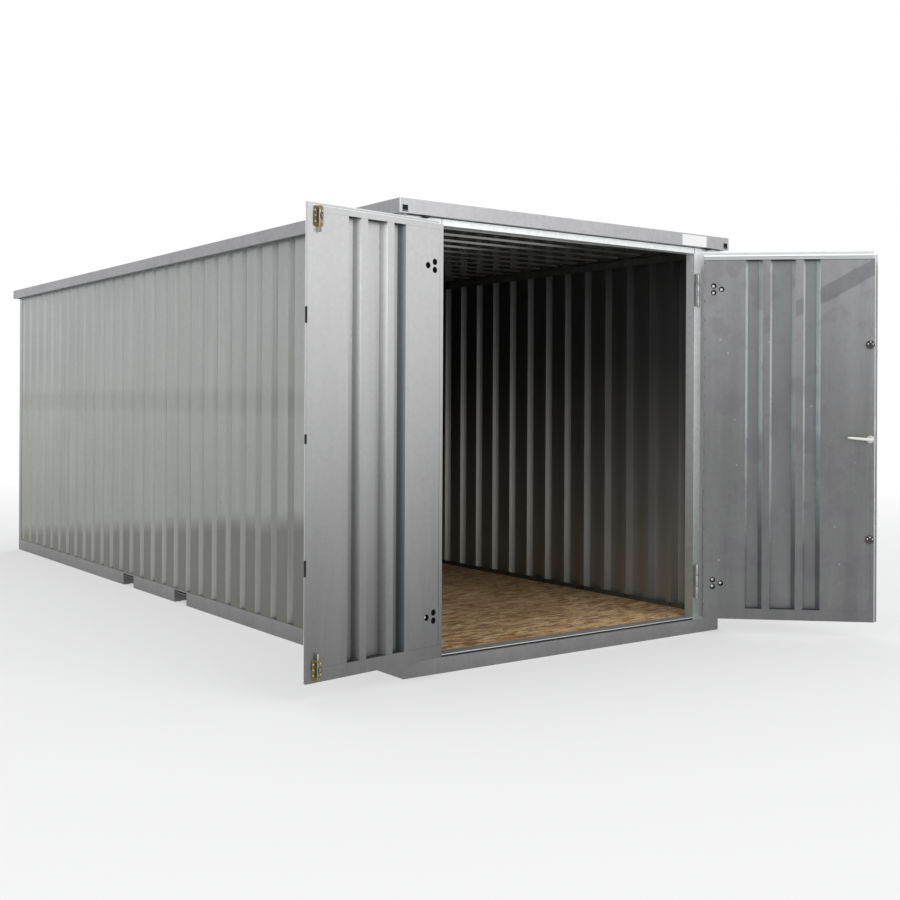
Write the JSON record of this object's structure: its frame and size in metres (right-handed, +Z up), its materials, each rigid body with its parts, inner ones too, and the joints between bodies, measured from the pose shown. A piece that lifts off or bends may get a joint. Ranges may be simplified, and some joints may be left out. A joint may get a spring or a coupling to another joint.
{
  "type": "storage container",
  "caption": "Long low storage container of profiled galvanised sheet on a folded base frame, with fork pockets, a board floor and hinged doors open at one end.",
  "frame": {"origin": "centre of the base frame on the ground, under the middle floor bearer", "axes": "+X across the container to the right of someone facing the doors, +Y from the doors to the back wall, +Z up"},
  "size_m": [3.185, 6.4599, 2.15],
  "materials": {
    "galvanised_sheet": "galvanised, satin",
    "galvanised_trim": "galvanised, bright satin",
    "door_sheet": "galvanised with light stains",
    "angle_steel": "galvanised, satin",
    "base_steel": "galvanised, dull",
    "bright_zinc": "bright zinc",
    "yellow_zinc": "yellow zinc",
    "strand_board": "oriented strand board",
    "black_rubber": "matt"
  },
  "bodies": {
    "container": {"front_base_rail": "base_steel", "back_base_rail": "base_steel", "side_base_rails": "base_steel", "fork_pockets": "base_steel", "floor_bearers": "base_steel", "floor_board_1": "strand_board", "floor_board_2": "strand_board", "floor_board_3": "strand_board", "floor_board_4": "strand_board", "door_sill": "base_steel", "door_header": "galvanised_trim", "front_posts": "galvanised_trim", "back_posts": "galvanised_trim", "left_wall_front": "galvanised_sheet", "left_wall_middle": "galvanised_sheet", "left_wall_back": "galvanised_sheet", "right_wall_front": "galvanised_sheet", "right_wall_middle": "galvanised_sheet", "right_wall_back": "galvanised_sheet", "back_wall_left": "galvanised_sheet", "back_wall_right": "galvanised_sheet", "wall_foot_angles": "angle_steel", "wall_head_angles": "angle_steel", "roof_sheet_1": "galvanised_sheet", "roof_sheet_2": "galvanised_sheet", "roof_sheet_3": "galvanised_sheet", "roof_sheet_4": "galvanised_sheet", "roof_sheet_5": "galvanised_sheet", "end_roof_trims": "galvanised_trim", "side_roof_trims": "galvanised_trim", "trim_buffers": "black_rubber", "post_hinges": "bright_zinc"},
    "left_door": {"left_leaf_frame": "door_sheet", "left_leaf_flange": "door_sheet", "left_leaf_sheets": "door_sheet", "left_leaf_hinges": "bright_zinc", "bolt_housings": "yellow_zinc"},
    "right_door": {"right_leaf_frame": "door_sheet", "right_leaf_flange": "door_sheet", "right_leaf_sheets": "door_sheet", "right_leaf_hinges": "bright_zinc", "lock_plates": "bright_zinc"},
    "upper_bolt": {"upper_bolt_rod": "bright_zinc"},
    "lower_bolt": {"lower_bolt_rod": "bright_zinc"},
    "lever": {"lever_handle": "bright_zinc"}
  },
  "joints": [
    {"name": "left_door_hinge", "type": "hinge", "parent": "container", "child": "left_door", "pos_m": [-0.86, -2.8825, 1.06], "axis": [0, 0, -1], "range_deg": [-171.4, 8.6]},
    {"name": "right_door_hinge", "type": "hinge", "parent": "container", "child": "right_door", "pos_m": [0.86, -2.8825, 1.06], "axis": [0, 0, 1], "range_deg": [-137, 43]},
    {"name": "upper_bolt_slide", "type": "slide", "parent": "left_door", "child": "upper_bolt", "axis": [0, 0, 1], "range_m": [0, 0.023]},
    {"name": "lower_bolt_slide", "type": "slide", "parent": "left_door", "child": "lower_bolt", "axis": [0, 0, -1], "range_m": [0, 0.023]},
    {"name": "lever_turn", "type": "hinge", "parent": "right_door", "child": "lever", "pos_m": [1.50944, -3.48812, 1.055], "axis": [-0.682, -0.7314, 0], "range_deg": [0, 45], "stiffness_Nm_per_rad": 1, "springref_deg": -45.84}
  ]
}
